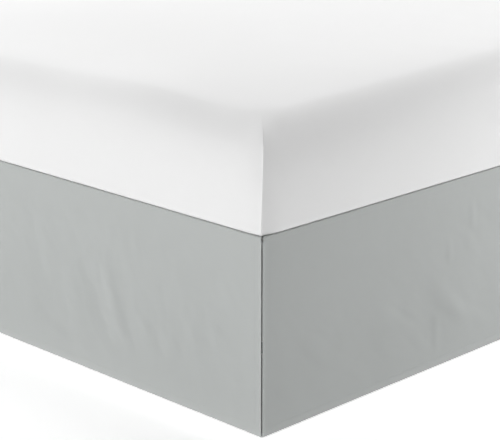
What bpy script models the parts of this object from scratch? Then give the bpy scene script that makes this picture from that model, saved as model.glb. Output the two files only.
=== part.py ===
"""A tailored bed skirt on its bed: a deck sheet under the mattress and three plain panels that hang
to the floor, split at the two foot corners. The bed is plain: mattress, base and metal frame.

Metres, +Z up. The origin is on the floor under the middle of the bed, the foot end faces -Y and the
head end +Y. The skirt has three sides, so the head end is open.
"""

from dataclasses import dataclass
from math import cos, pi, radians, sin

import bmesh
import bpy
from mathutils import Vector

# Bed
BED_WIDTH = 1.520
BED_LENGTH = 2.030
BASE_HEIGHT = 0.200
BASE_INSET = 0.007
BASE_CORNER = 0.004
BASE_EDGE = 0.0025

# Skirt
DROP = 0.380
HEM_ABOVE_FLOOR = 0.008
CLOTH = 0.0012
HEM_CLOTH = 0.0022
HEM_WIDTH = 0.020
HEM_STEP = 0.002
TURN_RADIUS = 0.003
SEAM_ALLOWANCE = 0.018
SLOT = 0.004
HEAD_SETBACK = 0.002
COLUMN_PITCH = 0.042
ROW_PITCH = 0.032
TURN_STEPS = 3

# Frame
RAIL_WIDTH = 0.025
RAIL_HEIGHT = 0.040
RAIL_SETBACK = 0.045
RAIL_LENGTH = 1.930
TUBE_EDGE = 0.003
CROSS_BAR_Y = (-0.880, 0.0, 0.880)
LEG_RADIUS = 0.016
FOOT_RADIUS = 0.024
FOOT_HEIGHT = 0.022
FOOT_EDGE = 0.004
ROUND_SIDES = 16

# Pieces that touch keep this gap.
GAP = 0.0003

DECK_TOP = HEM_ABOVE_FLOOR + DROP
BASE_TOP = DECK_TOP - CLOTH - GAP
RAIL_TOP = BASE_TOP - BASE_HEIGHT - GAP
LEG_TOP = RAIL_TOP - RAIL_HEIGHT - GAP
RAIL_X = BED_WIDTH / 2 - RAIL_SETBACK - RAIL_WIDTH / 2


@dataclass(frozen=True)
class Wave:
    """A slow swell along a panel."""

    height: float
    length: float
    phase: float


@dataclass(frozen=True)
class Crease:
    """A soft ridge, or a trough where its height is negative, across a panel's face."""

    along: float  # its middle, from the panel's left end as seen from outside
    up: float  # its middle, above the hem
    reach: float  # half its length
    lean: float  # degrees from upright, top towards the left end
    width: float
    height: float


@dataclass(frozen=True)
class Ring:
    """One level of the mattress: how far it stands in from the bed's size, and its corner radius."""

    inset: float
    height: float
    corner: float


FOOT_WAVES = (Wave(0.0008, 0.93, 0.6), Wave(0.0006, 0.41, 2.1))
RIGHT_WAVES = (Wave(0.0009, 1.10, 2.6), Wave(0.0006, 0.47, 0.9))
LEFT_WAVES = (Wave(0.0009, 0.98, 1.4), Wave(0.0006, 0.52, 3.0))

FOOT_CREASES = (
    Crease(1.085, 0.160, 0.105, 27, 0.030, -0.0016),
    Crease(1.125, 0.135, 0.075, 30, 0.026, 0.0014),
    Crease(1.165, 0.150, 0.095, 22, 0.030, -0.0013),
    Crease(1.205, 0.115, 0.060, 24, 0.024, 0.0012),
    Crease(0.960, 0.050, 0.070, 58, 0.034, -0.0014),
    Crease(1.330, 0.175, 0.090, 20, 0.034, 0.0008),
    Crease(0.610, 0.210, 0.110, -24, 0.040, 0.0014),
    Crease(0.540, 0.150, 0.100, -30, 0.034, -0.0014),
    Crease(0.250, 0.120, 0.090, 26, 0.034, 0.0013),
)
RIGHT_CREASES = (
    Crease(0.545, 0.118, 0.065, 39, 0.026, -0.0013),
    Crease(0.600, 0.140, 0.080, 32, 0.034, 0.0016),
    Crease(0.475, 0.080, 0.060, 4, 0.026, -0.0010),
    Crease(0.350, 0.130, 0.075, 35, 0.030, 0.0009),
    Crease(0.130, 0.090, 0.070, 48, 0.032, 0.0009),
    Crease(0.820, 0.230, 0.110, -18, 0.040, -0.0013),
    Crease(1.080, 0.160, 0.120, 26, 0.038, 0.0015),
    Crease(1.150, 0.120, 0.090, 30, 0.032, -0.0013),
    Crease(1.480, 0.200, 0.120, -28, 0.042, 0.0014),
    Crease(1.760, 0.120, 0.080, 22, 0.034, -0.0012),
)
LEFT_CREASES = (
    Crease(0.280, 0.130, 0.090, -26, 0.034, 0.0013),
    Crease(0.620, 0.210, 0.110, 22, 0.040, -0.0013),
    Crease(0.900, 0.150, 0.110, -30, 0.036, 0.0015),
    Crease(0.970, 0.110, 0.080, -34, 0.030, -0.0012),
    Crease(1.330, 0.180, 0.120, 24, 0.040, 0.0013),
    Crease(1.620, 0.120, 0.085, -20, 0.032, -0.0013),
    Crease(1.830, 0.170, 0.080, 28, 0.034, 0.0012),
)

# A crowned top, a soft rim with a shallow groove under it, full sides and a tight lower edge.
MATTRESS_RINGS = (
    Ring(0.0065, 0.0000, 0.010),
    Ring(0.0022, 0.0024, 0.011),
    Ring(0.0000, 0.0080, 0.012),
    Ring(-0.0022, 0.0450, 0.014),
    Ring(-0.0030, 0.0950, 0.016),
    Ring(-0.0018, 0.1480, 0.018),
    Ring(0.0012, 0.1800, 0.021),
    Ring(0.0026, 0.1950, 0.023),
    Ring(0.0022, 0.2040, 0.025),
    Ring(0.0032, 0.2130, 0.028),
    Ring(0.0085, 0.2220, 0.034),
    Ring(0.0190, 0.2285, 0.044),
    Ring(0.0450, 0.2315, 0.060),
    Ring(0.1500, 0.2330, 0.090),
    Ring(0.3500, 0.2340, 0.120),
)
GROOVE_HEIGHT = 0.180
RIM_HEIGHT = 0.2285
RING_STEPS_X = 11
RING_STEPS_Y = 15
RING_CORNER_STEPS = 4
# The top is a little uneven, and the cover draws its corners down.
UNEVEN = 0.0012
CORNER_DIP = 0.013
CORNER_REACH = 0.085


def clear_scene():
    """Empty the scene of whatever it starts with."""
    for thing in list(bpy.data.objects):
        bpy.data.objects.remove(thing)


def finish_of(name, colour, roughness, metallic=0.0):
    """A plain surface of one colour."""
    material = bpy.data.materials.new(name)
    material.use_nodes = True
    shader = material.node_tree.nodes["Principled BSDF"]
    shader.inputs["Base Color"].default_value = (*colour, 1.0)
    shader.inputs["Roughness"].default_value = roughness
    shader.inputs["Metallic"].default_value = metallic
    return material


def as_object(name, form, material, smooth=False):
    """Turn a finished bmesh into a named object with its material."""
    bmesh.ops.recalc_face_normals(form, faces=form.faces)
    mesh = bpy.data.meshes.new(name)
    form.to_mesh(mesh)
    form.free()
    mesh.materials.append(material)
    if smooth:
        mesh.shade_smooth()
        mesh.set_sharp_from_angle(angle=radians(40))
    return bpy.data.objects.new(name, mesh)


def place(thing, collection, parent, location=(0, 0, 0), turn=0.0):
    """Put an object in the collection, under the bed's own empty."""
    collection.objects.link(thing)
    thing.parent = parent
    thing.location = location
    thing.rotation_euler = (0, 0, radians(turn))
    return thing


def ease(low, high, value):
    """0 below low, 1 above high, and a smooth step between."""
    share = min(max((value - low) / (high - low), 0.0), 1.0)
    return share * share * (3 - 2 * share)


def bell(value):
    """1 at 0, falling softly to nothing past 2."""
    return max(1 - (value / 2) ** 2, 0.0) ** 3


def relief(along, up, span, waves, creases):
    """How far a panel's face stands out from its flat plane: none at its top, ends and slot."""
    swell = sum(w.height * sin(2 * pi * along / w.length + w.phase) for w in waves)
    folds = 0.0
    for crease in creases:
        lean = radians(crease.lean)
        right = along - crease.along
        rise = up - crease.up
        across = right * cos(lean) + rise * sin(lean)
        down = rise * cos(lean) - right * sin(lean)
        folds += crease.height * bell(across / crease.width) * bell(down / crease.reach)
    hold = ease(0.0, 0.09, DROP - up) * ease(0.0, 0.06, along) * ease(0.0, 0.06, span - along)
    hem = 0.30 + 0.70 * ease(0.0, 0.11, up)
    return (swell + folds) * hold * hem


def steps_between(start, end, pitch):
    """Evenly spaced values from start to end, about a pitch apart."""
    count = max(round(abs(end - start) / pitch), 1)
    return [start + (end - start) * i / count for i in range(count + 1)]


def panel_section():
    """The panel's outer face from the seam to the hem: (inset from its plane, height above the hem)."""
    flat = [(SEAM_ALLOWANCE, DROP), ((SEAM_ALLOWANCE + TURN_RADIUS) / 2, DROP)]
    turn = [
        (TURN_RADIUS * (1 - sin(a)), DROP - TURN_RADIUS * (1 - cos(a)))
        for a in (pi / 2 * i / TURN_STEPS for i in range(TURN_STEPS + 1))
    ]
    hem_top = HEM_WIDTH + HEM_STEP
    face = [(0.0, up) for up in steps_between(DROP - TURN_RADIUS, hem_top, ROW_PITCH)[1:]]
    return flat + turn + face + [(0.0, up) for up in (HEM_WIDTH, HEM_WIDTH / 2, 0.0)]


def panel_columns(span):
    """Where the panel's columns stand along it, close together at the hems of its two ends."""
    hem = [0.0, HEM_WIDTH / 2, HEM_WIDTH, HEM_WIDTH + HEM_STEP]
    middle = steps_between(hem[-1], span - hem[-1], COLUMN_PITCH)[1:-1]
    return hem + middle + [span - x for x in reversed(hem)]


def hanging_panel(name, width, split_ends, waves, creases, material):
    """A panel seen from outside, its face on the plane y = 0 and its middle at x = 0.

    It runs over the given width of the bed. A split end stops short of the corner, and its
    turned top is mitred there. The other end is the open one at the head.
    """
    section = panel_section()
    columns = panel_columns(width)
    form = bmesh.new()
    bmesh.ops.create_grid(form, x_segments=len(columns) - 1, y_segments=len(section) - 1, size=0.5)
    form.verts.ensure_lookup_table()
    hem_verts = []
    for index, vert in enumerate(form.verts):
        row, column = divmod(index, len(columns))
        inset, up = section[len(section) - 1 - row]
        along = columns[column]
        stops = [max(SLOT, inset + 2 * GAP) if split else HEAD_SETBACK for split in split_ends]
        span = width - stops[0] - stops[1]
        x = stops[0] + span * along / width - width / 2
        out = relief(along, up, width, waves, creases) if inset == 0.0 else 0.0
        vert.co = Vector((x, inset - out, HEM_ABOVE_FLOOR + up))
        if inset == 0.0 and min(along, width - along, up) <= HEM_WIDTH:
            hem_verts.append(index)
    panel = as_object(name, form, material, smooth=True)
    hem = panel.vertex_groups.new(name="hem")
    hem.add(hem_verts, 1.0, "REPLACE")
    cloth = panel.modifiers.new("cloth", "SOLIDIFY")
    cloth.thickness = HEM_CLOTH
    cloth.offset = -1.0
    cloth.use_even_offset = True
    cloth.vertex_group = hem.name
    cloth.thickness_vertex_group = CLOTH / HEM_CLOTH
    return panel


def deck_sheet(material):
    """The sheet on the base, between the turned tops of the panels and level with its head end."""
    edge = SEAM_ALLOWANCE + GAP
    width = BED_WIDTH - 2 * edge
    length = BED_LENGTH - edge - BASE_INSET
    form = bmesh.new()
    bmesh.ops.create_grid(form, x_segments=6, y_segments=8, size=0.5)
    bmesh.ops.scale(form, vec=(width, length, 1), verts=form.verts)
    bmesh.ops.translate(form, vec=(0, (edge - BASE_INSET) / 2, 0), verts=form.verts)
    deck = as_object("deck", form, material)
    cloth = deck.modifiers.new("cloth", "SOLIDIFY")
    cloth.thickness = CLOTH
    cloth.offset = -1.0
    return deck


def ring_points(ring):
    """The ring's outline: a quarter turn at each corner, then a straight side, closer near its ends."""
    half = Vector((BED_WIDTH / 2 - ring.inset, BED_LENGTH / 2 - ring.inset))
    sides = (
        (Vector((1, -1)), Vector((0, 1)), half.y, RING_STEPS_Y),
        (Vector((1, 1)), Vector((-1, 0)), half.x, RING_STEPS_X),
        (Vector((-1, 1)), Vector((0, -1)), half.y, RING_STEPS_Y),
        (Vector((-1, -1)), Vector((1, 0)), half.x, RING_STEPS_X),
    )
    points = []
    for quarter, (corner, heading, half_side, steps) in enumerate(sides):
        centre = corner * (half - Vector((ring.corner, ring.corner)))
        for step in range(RING_CORNER_STEPS + 1):
            angle = pi / 2 * (quarter - 1 + step / RING_CORNER_STEPS)
            points.append(centre + ring.corner * Vector((cos(angle), sin(angle))))
        start = points[-1]
        run = 2 * (half_side - ring.corner)
        points += [start + heading * run * (1 - cos(pi * i / steps)) / 2 for i in range(1, steps)]
    return points


def settled(point, height):
    """How far the mattress lies below its ring's level at a point."""
    share = ease(GROOVE_HEIGHT, RIM_HEIGHT, height)
    swell = 0.5 + 0.5 * sin(5.1 * point.x + 1.3) * sin(4.3 * point.y + 0.4)
    corner = Vector((BED_WIDTH / 2 - abs(point.x), BED_LENGTH / 2 - abs(point.y))).length
    return share * (UNEVEN * swell + CORNER_DIP * bell(corner / CORNER_REACH))


def mattress_form(material):
    """Rings lofted from the flat underside to the crowned top, closed at both ends."""
    form = bmesh.new()
    lowest = MATTRESS_RINGS[0]
    verts = [form.verts.new((*point, lowest.height)) for point in ring_points(lowest)]
    edges = [form.edges.new(pair) for pair in zip(verts, verts[1:] + verts[:1])]
    bmesh.ops.contextual_create(form, geom=edges)
    for ring in MATTRESS_RINGS[1:]:
        grown = bmesh.ops.extrude_edge_only(form, edges=edges)["geom"]
        edges = [item for item in grown if isinstance(item, bmesh.types.BMEdge)]
        verts = [item for item in grown if isinstance(item, bmesh.types.BMVert)]
        for vert, point in zip(verts, ring_points(ring)):
            vert.co = Vector((*point, ring.height - settled(point, ring.height)))
    bmesh.ops.contextual_create(form, geom=edges)
    return as_object("mattress", form, material, smooth=True)


def rounded_box(name, size, edge, material, corner=None):
    """A box with rounded edges. Its upright corners may have their own radius."""
    form = bmesh.new()
    bmesh.ops.create_cube(form, size=1.0)
    bmesh.ops.scale(form, vec=size, verts=form.verts)
    if corner:
        upright = [e for e in form.edges if abs(e.verts[0].co.z - e.verts[1].co.z) > size[2] / 2]
        bevel(form, upright, corner, 3)
        rim = [e for e in form.edges if abs(e.verts[0].co.z - e.verts[1].co.z) < edge]
        bevel(form, rim, edge, 2)
    else:
        bevel(form, form.edges, edge, 2)
    return as_object(name, form, material)


def bevel(form, edges, radius, segments):
    """Round the given edges."""
    bmesh.ops.bevel(
        form, geom=list(edges), offset=radius, segments=segments, affect="EDGES", profile=0.5, material=-1
    )


def upright_round(name, radius, height, edge, material):
    """A short round post or foot that stands on z = 0."""
    form = bmesh.new()
    bmesh.ops.create_cone(
        form, cap_ends=True, segments=ROUND_SIDES, radius1=radius, radius2=radius, depth=height
    )
    bmesh.ops.translate(form, vec=(0, 0, height / 2), verts=form.verts)
    if edge:
        rims = [e for e in form.edges if abs(e.verts[0].co.z - e.verts[1].co.z) < height / 2]
        bevel(form, rims, edge, 2)
    return as_object(name, form, material, smooth=True)


def build_skirt(collection, bed):
    """The deck and the three panels that hang from it."""
    cloth = finish_of("skirt_cloth", (0.50, 0.52, 0.51), 0.85)
    place(deck_sheet(cloth), collection, bed, (0, 0, DECK_TOP))
    foot = hanging_panel("foot_panel", BED_WIDTH, (True, True), FOOT_WAVES, FOOT_CREASES, cloth)
    place(foot, collection, bed, (0, -BED_LENGTH / 2, 0))
    right = hanging_panel("right_panel", BED_LENGTH, (True, False), RIGHT_WAVES, RIGHT_CREASES, cloth)
    place(right, collection, bed, (BED_WIDTH / 2, 0, 0), turn=90)
    left = hanging_panel("left_panel", BED_LENGTH, (False, True), LEFT_WAVES, LEFT_CREASES, cloth)
    place(left, collection, bed, (-BED_WIDTH / 2, 0, 0), turn=-90)


def build_bed(collection, bed):
    """The mattress, the base that the deck lies on and the frame under it."""
    cover = finish_of("mattress_cover", (0.90, 0.90, 0.90), 0.80)
    place(mattress_form(cover), collection, bed, (0, 0, DECK_TOP + GAP))
    ticking = finish_of("base_cover", (0.78, 0.77, 0.74), 0.85)
    size = (BED_WIDTH - 2 * BASE_INSET, BED_LENGTH - 2 * BASE_INSET, BASE_HEIGHT)
    base = rounded_box("base", size, BASE_EDGE, ticking, corner=BASE_CORNER)
    place(base, collection, bed, (0, 0, BASE_TOP - BASE_HEIGHT / 2))


def build_frame(collection, bed):
    """Side rails, cross bars between them, and three rows of legs on round feet."""
    steel = finish_of("frame_steel", (0.06, 0.06, 0.065), 0.45, metallic=0.6)
    rubber = finish_of("foot_plastic", (0.03, 0.03, 0.03), 0.55)
    rail_z = RAIL_TOP - RAIL_HEIGHT / 2
    for side, x in (("left", -RAIL_X), ("right", RAIL_X)):
        rail = rounded_box("rail_" + side, (RAIL_WIDTH, RAIL_LENGTH, RAIL_HEIGHT), TUBE_EDGE, steel)
        place(rail, collection, bed, (x, 0, rail_z))
    bar_length = 2 * RAIL_X - RAIL_WIDTH - 2 * GAP
    leg_height = LEG_TOP - FOOT_HEIGHT - GAP
    for row, y in zip(("foot", "middle", "head"), CROSS_BAR_Y):
        bar = rounded_box("cross_bar_" + row, (bar_length, RAIL_WIDTH, RAIL_HEIGHT), TUBE_EDGE, steel)
        place(bar, collection, bed, (0, y, rail_z))
        for side, x in (("left", -RAIL_X), ("centre", 0.0), ("right", RAIL_X)):
            leg = upright_round(f"leg_{row}_{side}", LEG_RADIUS, leg_height, 0, steel)
            place(leg, collection, bed, (x, y, FOOT_HEIGHT + GAP))
            foot = upright_round(f"glide_{row}_{side}", FOOT_RADIUS, FOOT_HEIGHT, FOOT_EDGE, rubber)
            place(foot, collection, bed, (x, y, 0))


def main():
    """Build the whole bed with its skirt."""
    clear_scene()
    collection = bpy.data.collections.new("bed_skirt")
    bpy.context.scene.collection.children.link(collection)
    bed = bpy.data.objects.new("bed", None)
    collection.objects.link(bed)
    build_skirt(collection, bed)
    build_bed(collection, bed)
    build_frame(collection, bed)


main()
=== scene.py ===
"""The looks of a tailored bed skirt on its bed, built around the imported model.

Metres, +Z up, in the model's own frame: the floor is z = 0, the foot end of the bed faces -Y and
the open head end +Y. The skirt is grey woven cloth: three panels, each one cut with a folded hem
on three of its edges, hang from the deck sheet that lies between the mattress and the base.
"""

import logging
from collections.abc import Iterable, Sequence
from dataclasses import dataclass
from enum import Enum
from math import cos, pi, radians, sin, tau

import bmesh
import bpy
from bmesh.types import BMEdge, BMesh, BMFace, BMVert
from bpy.types import Material, Node, NodeSocket, Object
from mathutils import Matrix, Vector, noise


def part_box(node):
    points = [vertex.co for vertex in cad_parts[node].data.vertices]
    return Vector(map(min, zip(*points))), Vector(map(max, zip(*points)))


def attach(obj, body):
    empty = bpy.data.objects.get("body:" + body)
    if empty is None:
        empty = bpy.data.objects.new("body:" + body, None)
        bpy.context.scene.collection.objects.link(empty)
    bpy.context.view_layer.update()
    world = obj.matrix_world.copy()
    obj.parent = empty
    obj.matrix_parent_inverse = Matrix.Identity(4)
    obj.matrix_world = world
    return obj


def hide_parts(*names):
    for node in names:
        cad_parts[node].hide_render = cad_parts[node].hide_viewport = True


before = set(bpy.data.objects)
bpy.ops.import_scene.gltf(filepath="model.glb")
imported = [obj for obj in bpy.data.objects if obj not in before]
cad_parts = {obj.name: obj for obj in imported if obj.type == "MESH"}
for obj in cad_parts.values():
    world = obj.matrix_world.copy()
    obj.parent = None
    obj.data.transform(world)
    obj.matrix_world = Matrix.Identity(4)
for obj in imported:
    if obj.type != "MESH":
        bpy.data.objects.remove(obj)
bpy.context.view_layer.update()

LOG = logging.getLogger("bed_skirt")
BODY = "root"
WEAVE_UV = "weave"
GAP = 0.0003  # between pieces that touch
SQUARE = radians(60)  # an edge whose faces turn by more is a square one
ALONG = 0.9  # the least that a unit vector has of the axis that it runs along


class Slot(Enum):
    """The record's material slots."""

    SKIRT = "skirt_cloth"
    COVER = "mattress_cover"
    BASE = "base_cover"
    STEEL = "frame_steel"
    PLASTIC = "glide_plastic"


class Weave(Enum):
    """How the threads of a cloth cross."""

    PLAIN = "over one, under one"
    TWILL = "in slanting ribs"


# ---------------------------------------------------------------------------
# Shaping helpers
# ---------------------------------------------------------------------------


def ease(low: float, high: float, value: float) -> float:
    """Read a smooth step at a value: it is 0 below low and 1 above high."""
    share = min(max((value - low) / (high - low), 0.0), 1.0)
    return share * share * (3 - 2 * share)


def bell(value: float) -> float:
    """Give 1 at 0, falling softly to nothing past 2 on either side."""
    return max(1 - (value / 2) ** 2, 0.0) ** 3


def steps_between(start: float, end: float, pitch: float) -> list[float]:
    """Space values evenly from start to end, both included, about a pitch apart."""
    count = max(round(abs(end - start) / pitch), 1)
    return [start + (end - start) * i / count for i in range(count + 1)]


def bevelled(form: BMesh, edges: Iterable[BMEdge], radius: float, segments: int) -> None:
    """Round some edges of a mesh to a radius, with that many faces."""
    bmesh.ops.bevel(
        form,
        geom=list(edges),
        offset=radius,
        segments=segments,
        affect="EDGES",
        profile=0.5,
        material=-1,
    )


def square_edges(form: BMesh) -> list[BMEdge]:
    """List the edges at which two faces meet squarely."""
    return [edge for edge in form.edges if edge.calc_face_angle(0) > SQUARE]


def edges_along(form: BMesh, axis: int) -> list[BMEdge]:
    """List the edges that run along an axis."""
    runs = ((edge, (edge.verts[1].co - edge.verts[0].co).normalized()) for edge in form.edges)
    return [edge for edge, run in runs if abs(run[axis]) > ALONG]


def faces_towards(form: BMesh, heading: Sequence[float]) -> list[BMFace]:
    """List the faces that look along a unit vector."""
    return [face for face in form.faces if face.normal.dot(Vector(heading)) > ALONG]


def risen(form: BMesh, height: float) -> None:
    """Raise a flat mesh to a closed plate.

    Args:
        form: the mesh, which stays as the plate's underside.
        height: the plate's thickness.
    """
    skin = bmesh.ops.extrude_face_region(form, geom=list(form.faces))["geom"]
    lifted = [item for item in skin if isinstance(item, BMVert)]
    bmesh.ops.translate(form, vec=(0, 0, height), verts=lifted)
    bmesh.ops.recalc_face_normals(form, faces=form.faces)


def chart_by_side(form: BMesh) -> None:
    """Lay the weave on each face from the side that it faces most, in metres.

    Args:
        form: the mesh, which gets the weave map.
    """
    uv = form.loops.layers.uv.new(WEAVE_UV)
    for face in form.faces:
        steep = [abs(value) for value in face.normal]
        across, along = ((1, 2), (0, 2), (0, 1))[steep.index(max(steep))]
        for loop in face.loops:
            loop[uv].uv = (loop.vert.co[across], loop.vert.co[along])


def as_piece(
    name: str, form: BMesh, finish: Material, replaced: Sequence[str] = (), sharp: float = 40.0
) -> Object:
    """Turn a finished bmesh into a piece of the bed.

    Args:
        name: the piece's name.
        form: its mesh, in place; it is freed.
        finish: its material.
        replaced: the CAD nodes that the piece stands for.
        sharp: the angle in degrees past which an edge isn't shaded smooth.

    Returns:
        The piece, riding on the bed.
    """
    mesh = bpy.data.meshes.new(name)
    form.to_mesh(mesh)
    form.free()
    mesh.materials.append(finish)
    mesh.shade_smooth()
    mesh.set_sharp_from_angle(angle=radians(sharp))
    piece = bpy.data.objects.new(name, mesh)
    bpy.context.scene.collection.objects.link(piece)
    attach(piece, BODY)
    if replaced:
        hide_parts(*replaced)
    return piece


def lofted(outlines: Sequence[Sequence[Vector]]) -> BMesh:
    """Join closed outlines of equal point counts into one closed skin.

    Args:
        outlines: the outlines, from the underside up and in to the middle of the top.

    Returns:
        A new mesh with its faces pointing out.
    """
    form = bmesh.new()
    verts = [form.verts.new(point) for point in outlines[0]]
    edges = [form.edges.new(pair) for pair in zip(verts, verts[1:] + verts[:1])]
    bmesh.ops.contextual_create(form, geom=edges)
    for outline in outlines[1:]:
        grown = bmesh.ops.extrude_edge_only(form, edges=edges)["geom"]
        edges = [item for item in grown if isinstance(item, BMEdge)]
        verts = [item for item in grown if isinstance(item, BMVert)]
        for vert, point in zip(verts, outline):
            vert.co = point
    bmesh.ops.contextual_create(form, geom=edges)
    bmesh.ops.recalc_face_normals(form, faces=form.faces)
    return form


# ---------------------------------------------------------------------------
# Finishes
# ---------------------------------------------------------------------------


class Recipe:
    """A material in the making: adds nodes and joins them to its shader."""

    def __init__(self, name: str) -> None:
        """Start a material.

        Args:
            name: the material's name.
        """
        self.material = bpy.data.materials.new(name)
        self.material.use_nodes = True
        self.tree = self.material.node_tree
        self.shader = self.tree.nodes["Principled BSDF"]

    def add(self, kind: str, inputs: dict[str | int, object] | None = None, **settings: object) -> Node:
        """Add a node.

        Args:
            kind: the node's type.
            inputs: a value or another node's output for each named or numbered input.
            **settings: the node's own options.

        Returns:
            The new node.
        """
        node = self.tree.nodes.new(kind)
        for key, value in settings.items():
            setattr(node, key, value)
        self.feed(node, inputs or {})
        return node

    def feed(self, node: Node, inputs: dict[str | int, object]) -> None:
        """Give a node its inputs.

        Args:
            node: the node, such as the shader.
            inputs: a value or another node's output for each named or numbered input.
        """
        for key, value in inputs.items():
            if isinstance(value, NodeSocket):
                self.tree.links.new(value, node.inputs[key])
            else:
                node.inputs[key].default_value = value

    def maths(self, operation: str, *values: object) -> NodeSocket:
        """Add one step of arithmetic on numbers or other nodes' outputs, and give its result."""
        return self.add("ShaderNodeMath", dict(enumerate(values)), operation=operation).outputs[0]

    def clouds(self, size: float, detail: float = 2.0, stretch: Sequence[float] = ()) -> NodeSocket:
        """Add soft noise that is fixed to the piece.

        Args:
            size: how far apart its lumps are, in metres.
            detail: how many finer octaves it has.
            stretch: how many times longer the lumps are along each axis, if at all.

        Returns:
            The noise, from 0 to 1.
        """
        place = self.add("ShaderNodeTexCoord").outputs["Object"]
        if stretch:
            shrink = Vector([1 / value for value in stretch])
            place = self.add("ShaderNodeMapping", {"Vector": place, "Scale": shrink}).outputs[0]
        inputs = {"Vector": place, "Scale": 1 / size, "Detail": detail, "Roughness": 0.5}
        return self.add("ShaderNodeTexNoise", inputs).outputs["Fac"]

    def varied(self, colour: Sequence[float], share: float, pattern: NodeSocket) -> NodeSocket:
        """Make a colour a little lighter and darker over the surface.

        Args:
            colour: its middle value.
            share: by how much it varies at most.
            pattern: where, from 0 to 1.

        Returns:
            The varied colour.
        """
        factor = self.maths("MULTIPLY_ADD", pattern, 2 * share, 1 - share)
        tint = self.add("ShaderNodeVectorMath", {0: tuple(colour)}, operation="SCALE")
        self.feed(tint, {"Scale": factor})
        return tint.outputs[0]

    def roughened(self, middle: float, swing: float, pattern: NodeSocket) -> None:
        """Vary the roughness about its middle value, by a swing from least to most."""
        rough = self.maths("MULTIPLY_ADD", pattern, swing, middle - swing / 2)
        self.feed(self.shader, {"Roughness": rough})

    def raised(self, height: NodeSocket) -> None:
        """Bump the surface by a height in metres."""
        bump = self.add("ShaderNodeBump", {"Height": height, "Strength": 1.0, "Distance": 1.0})
        self.feed(self.shader, {"Normal": bump.outputs["Normal"]})


@dataclass(frozen=True)
class Cloth:
    """A woven cloth, its threads laid along the piece's own weave map."""

    name: str
    colour: tuple[float, float, float]
    weave: Weave
    pitch: float  # from thread to thread
    thread_height: float
    mottle: float  # how much its colour varies
    rumple: float  # the height of its fine unevenness
    rumple_size: float
    roughness: float
    sheen: float
    rough_swing: float = 0.08
    sheen_roughness: float = 0.5
    specular: float = 0.25
    blotch_scale: float = 2.6  # how many times larger its blotches are than its rumples
    blotch_share: float = 0.6  # of the mottle; the rest is slubs
    slub_size: float = 0.004
    slub_stretch: tuple[float, float, float] = (9.0, 9.0, 1.0)

    def threads(self, recipe: Recipe) -> NodeSocket:
        """Raise the threads where they cross over.

        Args:
            recipe: the material in the making.

        Returns:
            The height of the weave, from -1 to 1.
        """
        uv = recipe.add("ShaderNodeUVMap", uv_map=WEAVE_UV).outputs[0]
        split = recipe.add("ShaderNodeSeparateXYZ", {0: uv})
        warp, weft = split.outputs[0], split.outputs[1]
        if self.weave is Weave.TWILL:
            rib = recipe.maths("ADD", warp, recipe.maths("MULTIPLY", weft, 2.0))
            return recipe.maths("SINE", recipe.maths("MULTIPLY", rib, tau / self.pitch))
        over = recipe.maths("SINE", recipe.maths("MULTIPLY", warp, pi / self.pitch))
        under = recipe.maths("SINE", recipe.maths("MULTIPLY", weft, pi / self.pitch))
        return recipe.maths("MULTIPLY", over, under)

    def material(self) -> Material:
        """Make the cloth's material.

        Returns:
            The material.
        """
        recipe = Recipe(self.name)
        threads = self.threads(recipe)
        blotches = recipe.clouds(self.rumple_size * self.blotch_scale, detail=3.0)
        slubs = recipe.clouds(self.slub_size, detail=1.0, stretch=self.slub_stretch)
        faint_blotches = recipe.maths("MULTIPLY", blotches, self.blotch_share)
        faint_slubs = recipe.maths("MULTIPLY", slubs, 1 - self.blotch_share)
        pattern = recipe.maths("ADD", faint_blotches, faint_slubs)
        recipe.feed(recipe.shader, {"Base Color": recipe.varied(self.colour, self.mottle, pattern)})
        rumple = recipe.maths("MULTIPLY", recipe.clouds(self.rumple_size, detail=3.0), self.rumple)
        recipe.raised(recipe.maths("MULTIPLY_ADD", threads, self.thread_height, rumple))
        recipe.roughened(self.roughness, self.rough_swing, slubs)
        recipe.feed(recipe.shader, {"Specular IOR Level": self.specular})
        recipe.feed(recipe.shader, {"Sheen Weight": self.sheen, "Sheen Roughness": self.sheen_roughness})
        return recipe.material


@dataclass(frozen=True)
class HardFinish:
    """Sprayed paint or moulded plastic, with its fine grain and the faint marks of handling."""

    name: str
    colour: tuple[float, float, float]
    roughness: float
    rough_swing: float
    mottle: float
    grain: float  # its size
    grain_detail: float
    grain_height: float
    marks: float  # their size
    mark_detail: float

    def material(self) -> Material:
        """Make the finish's material.

        Returns:
            The material.
        """
        recipe = Recipe(self.name)
        grain = recipe.clouds(self.grain, detail=self.grain_detail)
        marks = recipe.clouds(self.marks, detail=self.mark_detail)
        recipe.feed(recipe.shader, {"Base Color": recipe.varied(self.colour, self.mottle, marks)})
        recipe.roughened(self.roughness, self.rough_swing, marks)
        recipe.raised(recipe.maths("MULTIPLY", grain, self.grain_height))
        return recipe.material


@dataclass(frozen=True)
class SewingThread:
    """Spun thread, its strands twisted round each other, with painted shade in the grooves between them."""

    name: str
    colour: tuple[float, float, float]
    twist: float = 0.0005  # from strand to strand
    twist_height: float = 0.00004
    # painted shade: how much darker the twist's grooves and lighter its crests are, in step with its bump
    mottle: float = 0.1
    roughness: float = 0.6

    def material(self) -> Material:
        """Make the thread's material.

        Returns:
            The material.
        """
        recipe = Recipe(self.name)
        place = recipe.add("ShaderNodeTexCoord").outputs["Object"]
        inputs = {"Vector": place, "Scale": 1 / self.twist / tau, "Distortion": 1.0}
        twist = recipe.add("ShaderNodeTexWave", inputs).outputs["Fac"]
        # painted shade: the colour follows the twist, darker in its grooves and lighter on its crests
        recipe.feed(recipe.shader, {"Base Color": recipe.varied(self.colour, self.mottle, twist)})
        recipe.feed(recipe.shader, {"Roughness": self.roughness})
        recipe.raised(recipe.maths("MULTIPLY", twist, self.twist_height))
        return recipe.material


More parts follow.
